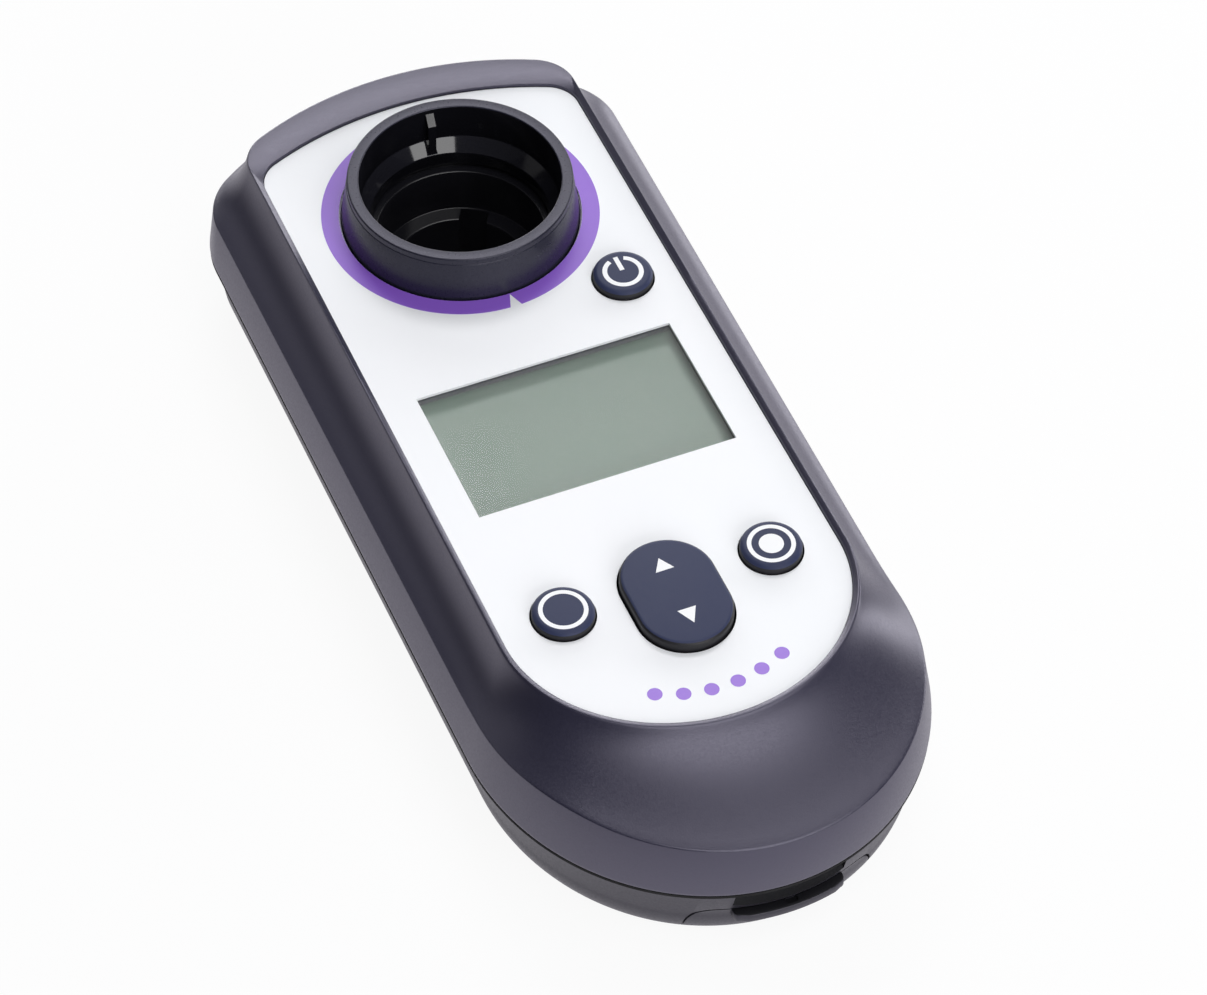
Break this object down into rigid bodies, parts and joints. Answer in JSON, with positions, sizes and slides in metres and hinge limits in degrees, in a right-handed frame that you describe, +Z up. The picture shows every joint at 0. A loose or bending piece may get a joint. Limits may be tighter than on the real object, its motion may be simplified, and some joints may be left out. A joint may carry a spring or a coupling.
{
  "type": "pool water photometer",
  "caption": "Hand-held pool water photometer: dark two-shell body, light face plate, recessed display, raised keys and rocker, vial collar over a light-tight well, hinged battery door.",
  "frame": {"origin": "on the table under the middle of the body, where the rubber feet stand", "axes": "+Y along the body from the nose to the vial collar, +X to the right of the face, +Z up out of the face plate"},
  "size_m": [0.0856, 0.2008, 0.0425],
  "materials": {
    "housing_plastic": "fine matt spark-eroded texture",
    "base_plastic": "fine matt spark-eroded texture",
    "gasket_rubber": "matt",
    "face_white": "satin reverse-printed film",
    "clear_lens": "clear, polished",
    "display_cell": "satin polariser film",
    "backlight": "diffusing",
    "inner_black": "matt",
    "foam": "matt",
    "silicone_grey": "matt",
    "key_plastic": "satin",
    "switch_metal": "satin",
    "board_green": "solder mask",
    "chip_black": "matt",
    "screw_steel": "zinc plated",
    "collar_gloss": "polished inside, satin outside",
    "well_black": "light-absorbing matt",
    "optic_clear": "polished",
    "source_resin": "moulded resin",
    "sensor_resin": "moulded resin",
    "ribbon_film": "satin film",
    "cell_can": "sleeved can",
    "contact_nickel": "nickel plated",
    "foot_rubber": "matt"
  },
  "bodies": {
    "housing": {"upper_housing": "housing_plastic", "lower_housing": "base_plastic", "housing_gasket": "gasket_rubber", "face_plate": "face_white", "window_lens": "clear_lens", "display_cushion": "foam", "display_glass": "display_cell", "display_backlight": "backlight", "display_frame": "inner_black", "display_connectors": "silicone_grey", "keypad_sheet": "silicone_grey", "rocker_fulcrum": "inner_black", "key_switches": "switch_metal", "main_board": "board_green", "board_components": "chip_black", "board_screws": "screw_steel", "vial_collar": "collar_gloss", "collar_seal": "gasket_rubber", "vial_well": "well_black", "well_screws": "screw_steel", "optic_windows": "optic_clear", "light_sources": "source_resin", "light_sensors": "sensor_resin", "optics_board": "board_green", "optics_ribbon": "ribbon_film", "battery_tray": "inner_black", "battery_cells": "cell_can", "contact_springs": "contact_nickel", "contact_plates": "contact_nickel", "case_screws": "screw_steel", "rubber_feet": "foot_rubber"},
    "power_button": {"power_key": "key_plastic"},
    "left_button": {"left_key": "key_plastic"},
    "right_button": {"right_key": "key_plastic"},
    "rocker": {"rocker_key": "key_plastic"},
    "door": {"battery_door": "base_plastic", "door_seal": "gasket_rubber"}
  },
  "joints": [
    {"name": "power_press", "type": "slide", "parent": "housing", "child": "power_button", "axis": [0, 0, -1], "range_m": [0, 0.0008], "stiffness_N_per_m": 3000},
    {"name": "left_press", "type": "slide", "parent": "housing", "child": "left_button", "axis": [0, 0, -1], "range_m": [0, 0.0008], "stiffness_N_per_m": 3000},
    {"name": "right_press", "type": "slide", "parent": "housing", "child": "right_button", "axis": [0, 0, -1], "range_m": [0, 0.0008], "stiffness_N_per_m": 3000},
    {"name": "rocker_tilt", "type": "hinge", "parent": "housing", "child": "rocker", "pos_m": [0, -0.04775, 0.0272], "axis": [1, 0, 0], "range_deg": [-2.5, 2.5], "stiffness_Nm_per_rad": 0.46},
    {"name": "door_swing", "type": "hinge", "parent": "housing", "child": "door", "pos_m": [0, -0.02655, 0.0036], "axis": [1, 0, 0], "range_deg": [0, 90]}
  ]
}
